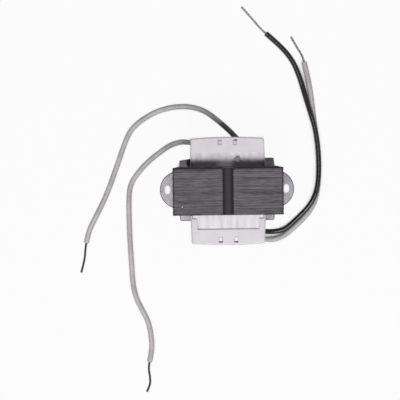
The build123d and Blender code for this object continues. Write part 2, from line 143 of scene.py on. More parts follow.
# The solids' route points in millimetres, with y from the lead channel. Those of the black and the white lead
# are moved by up to 2.4 mm beside their cover and near their ends.
leadRoutes = {
    "primary_lead_black": {
        "side": -1,
        "strands": "primary_black_strands",
        "route": [
            (6.0, 1.6, 16.36), (10.8, 1.6, 15.9), (15.4, 1.6, 12.6), (19.6, 1.1, 8.0), (24.4, 0.0, 4.4),
            (30.6, -0.15, 3.4), (37.2, 1.55, 3.3), (44.2, 7.85, 3.6), (51.0, 14.4, 4.2), (55.7, 21.5, 5.1),
            (58.1, 30.6, 5.22), (58.7, 41.4, 5.22), (58.2, 53.8, 5.22), (56.4, 66.0, 5.22),
            (52.9, 77.4, 4.8), (49.9, 88.4, 2.0), (46.9, 99.0, 1.67), (42.6, 109.3, 1.67),
            (34.8, 118.6, 1.67), (26.0, 126.2, 1.67),
        ],
        "strip": [(17.5, 135.6, 0.8), (10.7, 143.4, 0.695)],
    },
    "primary_lead_white": {
        "side": -1,
        "strands": "primary_white_strands",
        "route": [
            (6.0, -1.85, 16.36), (10.8, -1.9, 15.9), (15.3, -2.2, 12.4), (19.2, -3.5, 7.0),
            (23.8, -5.1, 2.9), (30.2, -5.4, 1.67), (36.6, -2.8, 1.67), (43.8, 3.3, 1.67), (50.0, 9.3, 1.67),
            (55.4, 16.6, 1.67), (57.9, 25.2, 1.67), (58.6, 36.0, 1.67), (58.6, 47.6, 1.67),
            (57.6, 59.4, 1.67), (56.0, 70.6, 1.67), (54.8, 82.0, 1.67), (53.2, 94.4, 1.67),
            (50.1, 107.8, 1.67),
        ],
        "strip": [(45.7, 117.1, 0.8), (42.0, 124.0, 0.695)],
    },
    "secondary_lead_rear": {
        "side": 1,
        "strands": "secondary_rear_strands",
        "route": [
            (11.4, 0.2, 18.87), (11.3, 0.3, 14.6), (10.6, 1.3, 9.6), (8.8, 3.1, 5.1), (6.2, 5.8, 2.5),
            (1.6, 10.7, 1.67), (-5.2, 16.8, 1.67), (-13.4, 23.2, 1.67), (-23.3, 26.2, 1.67),
            (-34.4, 25.9, 1.67), (-45.1, 22.9, 1.67), (-54.5, 17.5, 1.67), (-61.0, 11.6, 1.67),
            (-64.9, 3.5, 1.67), (-70.3, -11.9, 1.67), (-75.8, -26.7, 1.67), (-80.0, -35.9, 1.67),
            (-84.5, -44.4, 1.67), (-89.1, -53.3, 1.67), (-90.4, -60.1, 1.67),
        ],
        "strip": [(-91.7, -71.2, 0.8), (-94.1, -79.3, 0.695)],
    },
    "secondary_lead_side": {
        "side": 1,
        "strands": "secondary_side_strands",
        "route": [
            (-6.0, 0.2, 16.36), (-10.6, 0.3, 15.8), (-15.0, 1.0, 12.2), (-19.0, 2.2, 7.8), (-23.6, 3.2, 4.0),
            (-29.2, 3.7, 1.8), (-36.0, 1.6, 1.67), (-42.7, -3.0, 1.67), (-50.0, -8.6, 1.67),
            (-56.9, -15.9, 1.67), (-62.2, -24.0, 1.67), (-62.9, -34.8, 1.67), (-62.8, -47.2, 1.67),
            (-62.5, -60.0, 1.67), (-61.7, -73.4, 1.67), (-61.2, -85.2, 1.67), (-59.5, -95.4, 1.67),
            (-55.1, -104.2, 1.67), (-51.2, -111.8, 1.67), (-49.6, -122.0, 1.67), (-49.3, -129.6, 1.67),
            (-51.0, -137.1, 1.67),
        ],
        "strip": [(-50.8, -147.4, 0.8), (-50.9, -152.6, 0.695), (-53.1, -156.6, 0.695)],
    },
}


def routePoints(route, side):
    # Route points in metres, with y measured from the middle of the lead channel
    points = np.array(route) * mm
    points[:, 1] += side * leadSetup["channelY"]
    return points


def makeNurbs(name, points, radius):
    # An open quadratic NURBS with the points as its control points, thickened to a round cord. The radius in
    # metres is on the points and the bevel is 1, because a curve's box is its points plus their own radius.
    curve = bpy.data.curves.new(name, "CURVE")
    curve.dimensions = "3D"
    spline = curve.splines.new("NURBS")
    spline.points.add(len(points) - 1)
    spline.points.foreach_set("co", np.column_stack([points, np.ones(len(points))]).ravel())
    spline.points.foreach_set("radius", np.full(len(points), radius))
    spline.order_u = leadSetup["splineOrder"]
    spline.use_endpoint_u = True
    spline.resolution_u = leadSetup["splineSteps"]
    curve.bevel_depth = 1.0 if radius else 0.0
    curve.bevel_resolution = leadSetup["bevelSteps"]
    curve.use_fill_caps = True
    thing = bpy.data.objects.new(name, curve)
    bpy.context.scene.collection.objects.link(thing)
    return thing


def splineLine(points):
    # The NURBS line itself as an array of points, read from the curve without a bevel
    bare = makeNurbs("bareLine", points, 0.0)
    mesh = bpy.data.meshes.new_from_object(bare)
    line = np.zeros(len(mesh.vertices) * 3)
    mesh.vertices.foreach_get("co", line)
    curve = bare.data
    bpy.data.objects.remove(bare)
    bpy.data.curves.remove(curve)
    bpy.data.meshes.remove(mesh)
    return line.reshape(-1, 3)


def makeMesh(name, vertices, faces):
    mesh = bpy.data.meshes.new(name)
    mesh.from_pydata(vertices.tolist(), [], faces)
    mesh.polygons.foreach_set("use_smooth", [True] * len(mesh.polygons))
    mesh.update()
    thing = bpy.data.objects.new(name, mesh)
    bpy.context.scene.collection.objects.link(thing)
    return thing


def tubeFaces(rings, sides):
    # The wall between neighbouring rings, each ring closed on itself, and a face for either end. They point
    # outwards where the rings turn to the right seen along the tube.
    r, c = np.meshgrid(np.arange(rings - 1), np.arange(sides), indexing="ij")
    n = (c + 1) % sides
    wall = np.stack([r * sides + c, r * sides + n, (r + 1) * sides + n, (r + 1) * sides + c], axis=-1)
    firstEnd = list(range(sides))[::-1]
    lastEnd = list(range((rings - 1) * sides, rings * sides))
    return wall.reshape(-1, 4).tolist(), firstEnd, lastEnd


def runAlong(line):
    # Distance along the line at each of its points
    return np.concatenate([[0], np.cumsum(np.linalg.norm(np.diff(line, axis=0), axis=1))])


def evenly(line, step):
    # The line again with points a step apart
    run = runAlong(line)
    at = np.linspace(0, run[-1], int(run[-1] / step))
    return np.column_stack([np.interp(at, run, line[:, axis]) for axis in range(3)])


def sideFrames(line):
    # Two unit vectors across a nearly level line at each point: one level, one upright
    along = np.gradient(line, axis=0)
    along /= np.linalg.norm(along, axis=1)[:, None]
    level = np.cross(along, [0, 0, 1])
    level /= np.linalg.norm(level, axis=1)[:, None]
    return level, np.cross(level, along)


# Stripped ends: seven wires twisted round an eighth, opening a little at the tip
strandSetup = {
    "wires": 7,
    "sides": 10,
    "wireRadius": 0.2 * mm,
    "ringRadius": 0.47 * mm,
    "lay": 9 * mm,
    "flare": 0.04,
    "flarePower": 6,
    "step": 0.35 * mm,
}


def wireBundle(name, line, setup):
    # Each wire is a tube round a helix: centre = line + ring * (cos a, sin a), and a grows by a turn per lay
    level, upright = sideFrames(line)
    run = runAlong(line)
    around = np.linspace(0, 2 * np.pi, setup["sides"], endpoint=False)[None, :, None]
    spread = 1 + setup["flare"] * (run / run[-1]) ** setup["flarePower"]
    radius = setup["wireRadius"]
    wall, firstEnd, lastEnd = tubeFaces(len(line), setup["sides"])
    vertices, faces = [], []
    for wire in range(setup["wires"] + 1):
        onRing = wire < setup["wires"]
        angle = 2 * np.pi * (wire / setup["wires"] + run / setup["lay"])
        ring = (setup["ringRadius"] if onRing else 0.0) * spread
        centre = line + (ring * np.cos(angle))[:, None] * level + (ring * np.sin(angle))[:, None] * upright
        across = radius * np.cos(around) * level[:, None] + radius * np.sin(around) * upright[:, None]
        vertices.append((centre[:, None] + across).reshape(-1, 3))

        # The rings turn to the left here, so their faces are turned over
        start = wire * len(line) * setup["sides"]
        faces += [[start + i for i in reversed(face)] for face in wall + [firstEnd, lastEnd]]
    return makeMesh(name, np.concatenate(vertices), faces)


def makeLeads(routes):
    made = {}
    for name, lead in routes.items():
        points = routePoints(lead["route"], lead["side"])
        cord = makeNurbs(name + "_cord", points, leadSetup["diameter"] / 2)
        end = points[-1]
        onward = (end - points[-2]) / np.linalg.norm(end - points[-2])
        leadIn = end + onward * leadSetup["stripLeadIn"]
        strip = splineLine(np.vstack([end, leadIn, routePoints(lead["strip"], lead["side"])]))
        strands = wireBundle(lead["strands"] + "_twist", evenly(strip, strandSetup["step"]), strandSetup)
        for piece, node in ((cord, name), (strands, lead["strands"])):
            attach(piece, "root")
            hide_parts(node)
        length = float(runAlong(splineLine(points))[-1])
        print(f"{name}: {length / mm:.1f} mm of lead")
        made[name] = (cord, strands)
    return made


leads = makeLeads(leadRoutes)
print("leads laid")


# Baking varnish, left as a bead behind the stack's upper rear edge and as one drop on the bobbin's flange.
# The near-black bead is also painted shade: it stands in for the shade in the gap behind the core.
coreLow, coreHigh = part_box("e_laminations")
beadSetup = {
    "stations": 131,
    "sides": 12,
    "radius": 0.62 * mm,
    "tipShare": 0.3,
    "endInset": 0.8 * mm,
    "standOff": 0.2 * mm,
    "belowTop": 0.25 * mm,
    "seed": 7,
    "lumpStations": 5,
    "lumpShare": 0.3,
    "droop": 1.2 * mm,
    "droopLength": 4 * mm,
    "droopInward": 0.6,
}
dropSetup = {
    "place": (6.0 * mm, 19.2 * mm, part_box("bobbin")[1].z),
    "radii": (1.8 * mm, 1.9 * mm),
    "height": 0.55 * mm,
    "steepness": 0.8,
    "skew": 0.12,
    "sunk": 0.02 * mm,
    "rings": 16,
    "sides": 48,
}


def makeVarnishAndShadeBead(setup):
    # A lumpy tube along the rear edge: radius = r * (1 + lumps(x)), drooping by a square law at each end
    draw = np.random.default_rng(setup["seed"])
    count, sides = setup["stations"], setup["sides"]
    coarse = draw.normal(size=count // setup["lumpStations"] + 2)
    lumps = np.interp(np.arange(count) / setup["lumpStations"], np.arange(len(coarse)), coarse)
    radius = setup["radius"] * (1 + setup["lumpShare"] * np.clip(lumps, -1, 1))
    radius[[0, -1]] *= setup["tipShare"]
    x = np.linspace(coreLow.x + setup["endInset"], coreHigh.x - setup["endInset"], count)
    fromEnd = np.minimum(x - x[0], x[-1] - x)
    droop = setup["droop"] * np.clip(1 - fromEnd / setup["droopLength"], 0, 1) ** 2
    y = coreHigh.y + setup["standOff"] - setup["droopInward"] * droop
    z = coreHigh.z - setup["radius"] * (1 + setup["lumpShare"]) - setup["belowTop"] - droop
    around = np.linspace(0, 2 * np.pi, sides, endpoint=False)
    tube = np.stack(
        [
            np.repeat(x[:, None], sides, axis=1),
            y[:, None] + radius[:, None] * np.cos(around),
            z[:, None] + radius[:, None] * np.sin(around),
        ],
        axis=-1,
    )
    wall, firstEnd, lastEnd = tubeFaces(count, sides)
    return makeMesh("varnish_and_shade_bead", tube.reshape(-1, 3), wall + [firstEnd, lastEnd])


def makeVarnishDrop(setup):
    # A cap with an egg-shaped foot: z = h * cos(t)^steepness over t from 0 to 90 degrees, x and y =
    # radii * sin(t), closed by a fan round one point at the top and a flat face below
    t = np.linspace(0, np.pi / 2, setup["rings"] + 1)[1:, None]
    around = np.linspace(0, 2 * np.pi, setup["sides"], endpoint=False)
    x = setup["radii"][0] * np.sin(t) * np.cos(around)
    y = setup["radii"][1] * np.sin(t) * np.sin(around) * (1 + setup["skew"] * np.cos(around))
    z = np.repeat(setup["height"] * np.maximum(np.cos(t), 0) ** setup["steepness"], setup["sides"], axis=1)
    rings = np.stack([x, y, z], axis=-1).reshape(-1, 3)
    foot = np.array(setup["place"]) - [0, 0, setup["sunk"]]
    vertices = np.vstack([rings, [0, 0, setup["height"]]]) + foot
    wall, firstEnd, lastEnd = tubeFaces(setup["rings"], setup["sides"])
    fan = [[a, b, len(rings)] for a, b in zip(firstEnd, firstEnd[1:] + firstEnd[:1])]
    return makeMesh("varnish_drop", vertices, [face[::-1] for face in wall + fan + [lastEnd]])


varnishAndShadeBead = makeVarnishAndShadeBead(beadSetup)
varnishDrop = makeVarnishDrop(dropSetup)
for piece in (varnishAndShadeBead, varnishDrop):
    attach(piece, "root")
print("varnish runs made")


# Materials. Their finishes follow these sizes of the solids.
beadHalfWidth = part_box("yoke_weld")[1].x
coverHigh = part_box("secondary_cover")[1]


def softNoise(tree, place, sizesMm, detail, roughness=0.5):
    # Soft noise with patches of this size, or of these sizes along X, Y and Z
    sizes = sizesMm if isinstance(sizesMm, tuple) else (sizesMm,) * 3
    scale = [1 / (size * mm) for size in sizes]
    spread = addNode(tree, "ShaderNodeMapping", {"Vector": place, "Scale": scale})
    look = {"Vector": spread.outputs[0], "Scale": 1.0, "Detail": detail, "Roughness": roughness}
    return addNode(tree, "ShaderNodeTexNoise", look)


def nearFace(tree, axis, face, reach, fullShare=0.6):
    # 1 on the faces at plus and minus this distance and a little inside them, falling to 0 at this reach
    distance = addNode(tree, "ShaderNodeMath", {0: axis}, operation="ABSOLUTE")
    fall = {
        "Value": distance.outputs[0], "From Min": face - reach, "From Max": face - fullShare * reach,
        "To Min": 0.0, "To Max": 1.0,
    }
    return addNode(tree, "ShaderNodeMapRange", fall).outputs[0]


def wobbled(tree, place, sizeMm, amountMm):
    # The place again, pushed about by soft noise so that an edge drawn from it is uneven
    noise = softNoise(tree, place, sizeMm, detail=2.0)
    centred = addNode(tree, "ShaderNodeVectorMath", {0: noise.outputs[1], 1: [0.5] * 3}, operation="SUBTRACT")
    pushed = addNode(
        tree, "ShaderNodeVectorMath", {0: centred.outputs[0], 1: [2 * amountMm * mm] * 3, 2: place},
        operation="MULTIPLY_ADD",
    )
    return addNode(tree, "ShaderNodeSeparateXYZ", {0: pushed.outputs[0]})


def varnishAndCoreShadow(tree, place, nylon):
    # Painted shadow of the core on the nylon behind it, together with some baking varnish drawn there by the
    # gap; thinner over the middle, where light comes through the weld groove
    look = {
        "varnishAndShadow": "#3b353c",
        "solidMm": 2.9,
        "fadeMm": 6.5,
        "wobbleMm": 0.8,
        "wobbleSizeMm": 3.5,
        "grooveLightX": -1.5,
        "grooveLightHalfMm": (2.5, 6.0),
        "grooveLightShare": 0.55,
    }
    axes = wobbled(tree, place, look["wobbleSizeMm"], look["wobbleMm"])
    reach = addNode(
        tree, "ShaderNodeMapRange",
        {
            "Value": axes.outputs["Y"], "From Min": coreHigh.y + look["solidMm"] * mm,
            "From Max": coreHigh.y + look["fadeMm"] * mm, "To Min": 1.0, "To Max": 0.0,
        },
        interpolation_type="SMOOTHSTEP",
    )
    behind = addNode(tree, "ShaderNodeMath", {0: axes.outputs["Y"], 1: 0.0}, operation="GREATER_THAN")
    offset = addNode(
        tree, "ShaderNodeMath", {0: axes.outputs["X"], 1: look["grooveLightX"] * mm}, operation="SUBTRACT"
    )
    sideways = addNode(tree, "ShaderNodeMath", {0: offset.outputs[0]}, operation="ABSOLUTE")
    lessShadeByGroove = addNode(
        tree, "ShaderNodeMapRange",
        {
            "Value": sideways.outputs[0], "From Min": look["grooveLightHalfMm"][0] * mm,
            "From Max": look["grooveLightHalfMm"][1] * mm, "To Min": look["grooveLightShare"], "To Max": 1.0,
        },
    )
    share = addNode(tree, "ShaderNodeMath", {0: reach.outputs[0], 1: behind.outputs[0]}, operation="MULTIPLY")
    kept = addNode(tree, "ShaderNodeMath", {0: share.outputs[0], 1: lessShadeByGroove.outputs[0]}, operation="MULTIPLY")
    blend = {0: kept.outputs[0], 6: nylon, 7: look["varnishAndShadow"]}
    return addNode(tree, "ShaderNodeMix", blend, data_type="RGBA").outputs[2]


def nylonCover():
    # Moulded nylon 66, natural white: soft sheen and faint handling grime. Its eroded mould texture is drawn
    # several times coarser than the real one, so that it shows.
    look = {
        "colour": "#cdc8ce",
        "grime": "#bdb7be",
        "grimeMm": 9.0,
        "grimeRange": (0.45, 0.8),
        "grimeShare": 0.6,
        "textureMm": 0.35,
        "textureDepthMm": 0.012,
    }
    material, tree, shader, place = startMaterial("naturalNylonMoulded", Roughness=0.42, IOR=1.53)
    patches = softNoise(tree, place, look["grimeMm"], detail=3.0)
    amount = addNode(
        tree, "ShaderNodeMapRange",
        {
            "Value": patches.outputs[0], "From Min": look["grimeRange"][0], "From Max": look["grimeRange"][1],
            "To Min": 0.0, "To Max": look["grimeShare"],
        },
    )
    blend = {0: amount.outputs[0], 6: look["colour"], 7: look["grime"]}
    nylon = addNode(tree, "ShaderNodeMix", blend, data_type="RGBA")
    # The core's shadow on the cover is painted on here, together with some varnish
    colour = varnishAndCoreShadow(tree, place, nylon.outputs[2])
    texture = softNoise(tree, place, look["textureMm"], detail=2.0)
    finishSurface(tree, shader, colour, texture.outputs[0], look["textureDepthMm"], strength=0.6)
    return material


def nylonBobbin():
    # Glass-filled nylon, moulded: a little glossier than the covers, with flow ripples along its short side
    look = {
        "colour": "#dedae0",
        "ripple": "#c3bdc5",
        "rippleMm": (2.8, 16.0, 16.0),
        "rippleRange": (0.36, 0.72),
        "rippleDepthMm": 0.02,
    }
    material, tree, shader, place = startMaterial("glassFilledNylonMoulded", Roughness=0.36, IOR=1.53)
    flow = softNoise(tree, place, look["rippleMm"], detail=2.0)
    rippled = addNode(
        tree, "ShaderNodeMapRange",
        {
            "Value": flow.outputs[0], "From Min": look["rippleRange"][0], "From Max": look["rippleRange"][1],
            "To Min": 0.0, "To Max": 1.0,
        },
    )
    blend = {0: rippled.outputs[0], 6: look["colour"], 7: look["ripple"]}
    nylon = addNode(tree, "ShaderNodeMix", blend, data_type="RGBA")
    # The core's shadow on the bobbin is painted on here, together with some varnish
    colour = varnishAndCoreShadow(tree, place, nylon.outputs[2])
    finishSurface(tree, shader, colour, flow.outputs[0], look["rippleDepthMm"], strength=0.5)
    return material


def varnishedSheet():
    # Blanked silicon steel, stacked, welded and dipped in baking varnish: dark satin, a line for each sheet
    look = {
        "pale": "#746f76",
        "dark": "#2a262b",
        # The pooled tone is thick varnish and painted shade at once
        "pooledAndShaded": "#0d0a0f",
        "strataMm": (34.0, 1.0, 34.0),
        "threadMm": (5.0, 0.5, 5.0),
        "patchMm": 7.0,
        "patchShare": 0.45,
        "sheetMm": 0.635,
        "sheetShare": 0.3,
        "toneRange": (0.95, 1.85),
        "wobbleSizeMm": 3.0,
        "wobbleMm": 0.35,
        "edgeReachMm": 0.95,
        "grooveMm": (1.0, 1.5),
        "pooledAndShadedShare": 0.93,
        "blister": (-27.7 * mm, -9.1 * mm, coreHigh.z),
        "blisterShadeAndHighlight": (((0.7, 1.2), 0.75, "#0d0a0f"), ((0.3, 0.55), 1.0, "#c4c0c6")),
        "reliefMm": 0.06,
    }
    material, tree, shader, place = startMaterial(
        "varnishedSiliconSteelStacked", Metallic=0.15, Roughness=0.6, Specular_IOR_Level=0.25
    )
    strata = softNoise(tree, place, look["strataMm"], detail=4.0, roughness=0.7)
    threads = softNoise(tree, place, look["threadMm"], detail=3.0)
    patches = softNoise(tree, place, look["patchMm"], detail=4.0)
    lined = addNode(tree, "ShaderNodeMath", {0: strata.outputs[0], 1: threads.outputs[0]}, operation="ADD")
    clouded = addNode(
        tree, "ShaderNodeMath", {0: patches.outputs[0], 1: look["patchShare"], 2: lined.outputs[0]},
        operation="MULTIPLY_ADD",
    )

    # Every sheet has a tone of its own, from a random value for each whole number of sheets along Y
    along = addNode(tree, "ShaderNodeSeparateXYZ", {0: place})
    sheets = addNode(
        tree, "ShaderNodeMath", {0: along.outputs["Y"], 1: 1 / (look["sheetMm"] * mm)}, operation="MULTIPLY"
    )
    count = addNode(tree, "ShaderNodeMath", {0: sheets.outputs[0]}, operation="FLOOR")
    toss = addNode(tree, "ShaderNodeTexWhiteNoise", {"W": count.outputs[0]}, noise_dimensions="1D")
    mixed = addNode(
        tree, "ShaderNodeMath", {0: toss.outputs["Value"], 1: look["sheetShare"], 2: clouded.outputs[0]},
        operation="MULTIPLY_ADD",
    )
    amount = addNode(
        tree, "ShaderNodeMapRange",
        {
            "Value": mixed.outputs[0], "From Min": look["toneRange"][0], "From Max": look["toneRange"][1],
            "To Min": 0.0, "To Max": 1.0,
        },
    )
    blend = {0: amount.outputs[0], 6: look["dark"], 7: look["pale"]}
    colour = addNode(tree, "ShaderNodeMix", blend, data_type="RGBA")

    # The upper edges and the upright corners of the stack are painted near black: thick varnish, with painted
    # shade along the rear edge
    axes = wobbled(tree, place, look["wobbleSizeMm"], look["wobbleMm"])
    reach = look["edgeReachMm"] * mm
    ends = nearFace(tree, axes.outputs["X"], coreHigh.x, reach)
    rearward = addNode(tree, "ShaderNodeMath", {0: axes.outputs["Y"], 1: 0.0}, operation="MAXIMUM")
    rear = nearFace(tree, rearward.outputs[0], coreHigh.y, reach)
    top = nearFace(tree, axes.outputs["Z"], coreHigh.z, reach)
    topEnds, topRear, corners = [
        addNode(tree, "ShaderNodeMath", {0: one, 1: other}, operation="MULTIPLY").outputs[0]
        for one, other in ((top, ends), (top, rear), (ends, rear))
    ]

    # The groove beside the weld bead is painted near black too, as painted shade in the groove
    across = addNode(tree, "ShaderNodeMath", {0: axes.outputs["X"]}, operation="ABSOLUTE")
    grooveShade = addNode(
        tree, "ShaderNodeMapRange",
        {
            "Value": across.outputs[0], "From Min": beadHalfWidth + look["grooveMm"][0] * mm,
            "From Max": beadHalfWidth + look["grooveMm"][1] * mm, "To Min": 1.0, "To Max": 0.0,
        },
    )
    pooledAndShaded = topEnds
    for part in (topRear, corners, grooveShade.outputs[0]):
        pooledAndShaded = addNode(tree, "ShaderNodeMath", {0: pooledAndShaded, 1: part}, operation="MAXIMUM").outputs[0]
    share = addNode(tree, "ShaderNodeMath", {0: pooledAndShaded, 1: look["pooledAndShadedShare"]}, operation="MULTIPLY")
    blend = {0: share.outputs[0], 6: colour.outputs[2], 7: look["pooledAndShaded"]}
    colour = addNode(tree, "ShaderNodeMix", blend, data_type="RGBA")

    # One blister on top, drawn in colour only: a ring of painted shade round a painted highlight
    away = addNode(tree, "ShaderNodeVectorMath", {0: place, 1: look["blister"]}, operation="DISTANCE")
    for (innerMm, outerMm), most, tone in look["blisterShadeAndHighlight"]:
        disc = addNode(
            tree, "ShaderNodeMapRange",
            {
                "Value": away.outputs["Value"], "From Min": innerMm * mm, "From Max": outerMm * mm,
                "To Min": most, "To Max": 0.0,
            },
        )
        blend = {0: disc.outputs[0], 6: colour.outputs[2], 7: tone}
        colour = addNode(tree, "ShaderNodeMix", blend, data_type="RGBA")
    finishSurface(tree, shader, colour.outputs[2], mixed.outputs[0], look["reliefMm"], strength=0.5)
    return material


def weldSeam():
    # Gas-shielded weld bead under the same varnish: faintly rippled along its run, darker than the sheets
    look = {"pale": "#3d393e", "dark": "#343035", "rippleMm": (6.0, 1.6, 6.0), "rippleDepthMm": 0.05}
    material, tree, shader, place = startMaterial(
        "varnishedWeldBead", Metallic=0.1, Roughness=0.7, Specular_IOR_Level=0.25
    )
    ripples = softNoise(tree, place, look["rippleMm"], detail=2.0)
    blend = {0: ripples.outputs[0], 6: look["dark"], 7: look["pale"]}
    colour = addNode(tree, "ShaderNodeMix", blend, data_type="RGBA")
    finishSurface(tree, shader, colour.outputs[2], ripples.outputs[0], look["rippleDepthMm"], strength=0.6)
    return material


def zincPlate():
    # Mild steel, stamped and zinc plated: grey satin, cloudy and speckled, with painted shade on its steep
    # edges, and near black at
    #     the rear from varnish and the core's painted shadow. The speckle and the grain are drawn coarser
    #     than the plating's own, so that they show.
    look = {
        "colour": "#b7b3b8",
        "cloud": "#8f8b91",
        "edge": "#454147",
        "varnishAndShadow": "#29252a",
        "cloudMm": 4.5,
        "speckleMm": 0.8,
        "toneRange": (0.75, 1.3),
        "sideShadeRise": (0.7, 0.95),
        "wobbleSizeMm": 3.5,
        "wobbleMm": 1.6,
        "varnishAndShadowLeft": -25.8 * mm,
        "varnishAndShadowRight": 22.6 * mm,
        "sideFadeMm": 0.6,
        "rearFadeMm": 0.5,
        "grainMm": 0.3,
        "grainDepthMm": 0.01,
    }
    material, tree, shader, place = startMaterial("zincPlatedSteelStamped", Metallic=0.55, Roughness=0.5)
    clouds = softNoise(tree, place, look["cloudMm"], detail=5.0)
    speckle = softNoise(tree, place, look["speckleMm"], detail=2.0)
    tone = addNode(tree, "ShaderNodeMath", {0: clouds.outputs[0], 1: speckle.outputs[0]}, operation="ADD")
    amount = addNode(
        tree, "ShaderNodeMapRange",
        {
            "Value": tone.outputs[0], "From Min": look["toneRange"][0], "From Max": look["toneRange"][1],
            "To Min": 0.0, "To Max": 1.0,
        },
    )
    blend = {0: amount.outputs[0], 6: look["colour"], 7: look["cloud"]}
    plated = addNode(tree, "ShaderNodeMix", blend, data_type="RGBA")

    # The plate's steep faces, its sheared edges and their roll-over, are painted darker than the flat face:
    # painted shade
    facing = addNode(tree, "ShaderNodeNewGeometry")
    upward = addNode(tree, "ShaderNodeSeparateXYZ", {0: facing.outputs["True Normal"]})
    flat = addNode(tree, "ShaderNodeMath", {0: upward.outputs["Z"]}, operation="ABSOLUTE")
    sideShade = addNode(
        tree, "ShaderNodeMapRange",
        {
            "Value": flat.outputs[0], "From Min": look["sideShadeRise"][0], "From Max": look["sideShadeRise"][1],
            "To Min": 1.0, "To Max": 0.0,
        },
    )
    blend = {0: sideShade.outputs[0], 6: plated.outputs[2], 7: look["edge"]}
    sideShaded = addNode(tree, "ShaderNodeMix", blend, data_type="RGBA")

    # Behind the core the plate is painted near black, for varnish run down there and for the core's painted
    # shadow; only the corners are left bare
    axes = wobbled(tree, place, look["wobbleSizeMm"], look["wobbleMm"])
    borders = (
        ("Y", coreHigh.y, look["rearFadeMm"] * mm, 0.0, 1.0),
        ("X", look["varnishAndShadowLeft"], look["sideFadeMm"] * mm, 0.0, 1.0),
        ("X", look["varnishAndShadowRight"], look["sideFadeMm"] * mm, 1.0, 0.0),
    )
    behind, fromLeft, toRight = [
        addNode(
            tree, "ShaderNodeMapRange",
            {
                "Value": axes.outputs[axis], "From Min": border - fade, "From Max": border + fade,
                "To Min": before, "To Max": after,
            },
        ).outputs[0]
        for axis, border, fade, before, after in borders
    ]
    inner = addNode(tree, "ShaderNodeMath", {0: fromLeft, 1: toRight}, operation="MULTIPLY")
    run = addNode(tree, "ShaderNodeMath", {0: behind, 1: inner.outputs[0]}, operation="MULTIPLY")
    blend = {0: run.outputs[0], 6: sideShaded.outputs[2], 7: look["varnishAndShadow"]}
    colour = addNode(tree, "ShaderNodeMix", blend, data_type="RGBA")
    grain = softNoise(tree, place, look["grainMm"], detail=2.0)
    finishSurface(tree, shader, colour.outputs[2], grain.outputs[0], look["grainDepthMm"], strength=0.5)
    return material


def softPvc(name, look):
    # PVC hook-up wire insulation, extruded: smooth satin, with slow colour drift along the run
    material, tree, shader, place = startMaterial(name, Roughness=look["roughness"], IOR=1.53)
    drift = softNoise(tree, place, look["driftMm"], detail=4.0)
    amount = addNode(
        tree, "ShaderNodeMapRange",
        {
            "Value": drift.outputs[0], "From Min": look["driftRange"][0], "From Max": look["driftRange"][1],
            "To Min": 0.0, "To Max": 1.0,
        },
    )
    blend = {0: amount.outputs[0], 6: look["colour"], 7: look["drift"]}
    clean = addNode(tree, "ShaderNodeMix", blend, data_type="RGBA")

    # Painted shadow of the cover on one lead, for a short length beyond the cover's rear lip
    away = addNode(tree, "ShaderNodeVectorMath", {0: place, 1: look["coverShadowAt"]}, operation="DISTANCE")
    coverShadow = addNode(
        tree, "ShaderNodeMapRange",
        {
            "Value": away.outputs["Value"], "From Min": look["coverShadowMm"][0] * mm,
            "From Max": look["coverShadowMm"][1] * mm, "To Min": look["coverShadowShare"], "To Max": 0.0,
        },
    )
    blend = {0: coverShadow.outputs[0], 6: clean.outputs[2], 7: look["coverShadow"]}
    colour = addNode(tree, "ShaderNodeMix", blend, data_type="RGBA")
    finishSurface(tree, shader, colour.outputs[2], drift.outputs[0], look["reliefMm"], strength=0.4)
    return material


def driftingTone(name, look, sockets):
    # A plain finish in two close tones that drift into one another
    material, tree, shader, place = startMaterial(name, **sockets)
    drift = softNoise(tree, place, look["driftMm"], look["detail"])
    blend = {0: drift.outputs[0], 6: look["colour"], 7: look["drift"]}
    colour = addNode(tree, "ShaderNodeMix", blend, data_type="RGBA")
    height = drift.outputs[0] if "reliefMm" in look else None
    finishSurface(tree, shader, colour.outputs[2], height, look.get("reliefMm", 0.0), strength=0.4)
    return material


def plainMetal(name, look):
    # Drawn or plated metal, a little cloudy
    finish = {"Metallic": look["metallic"], "Roughness": look["roughness"]}
    return driftingTone(name, {**look, "detail": 4.0}, finish)


def bakedVarnish(name, look):
    # Alkyd baking varnish, cured: near black where it is thick and paler where the nylon shows through
    return driftingTone(name, {**look, "detail": 3.0}, {"Roughness": look["roughness"], "IOR": 1.52})


def polyesterWrap():
    # Yellow polyester film tape: thin, glossy, with a wrinkle here and there
    look = {"colour": "#c8a63c", "drift": "#b3922f", "driftMm": 3.0, "detail": 3.0, "reliefMm": 0.1}
    return driftingTone("polyesterFilmTape", look, {"Roughness": 0.25, "IOR": 1.6})


pvcBase = {
    "driftMm": 6.0,
    "driftRange": (0.35, 0.7),
    "roughness": 0.45,
    "reliefMm": 0.02,
    # The cover's painted shadow on a lead is drawn in this tone
    "coverShadow": "#453f45",
    "coverShadowAt": (2 * mm, coverHigh.y, 2 * mm),
    "coverShadowMm": (10.0, 12.0),
    "coverShadowShare": 0.0,
}
paleGrey = {**pvcBase, "colour": "#b6b1b5", "drift": "#a29da1"}
pvcBlack = softPvc(
    "blackPvcExtruded", {**pvcBase, "colour": "#1f1c20", "drift": "#171518", "driftMm": 5.0, "roughness": 0.2}
)
pvcWhite = softPvc("whitePvcExtruded", {**pvcBase, "colour": "#b3adb1", "drift": "#a29ca0"})
pvcGrey = softPvc("paleGreyPvcExtruded", paleGrey)
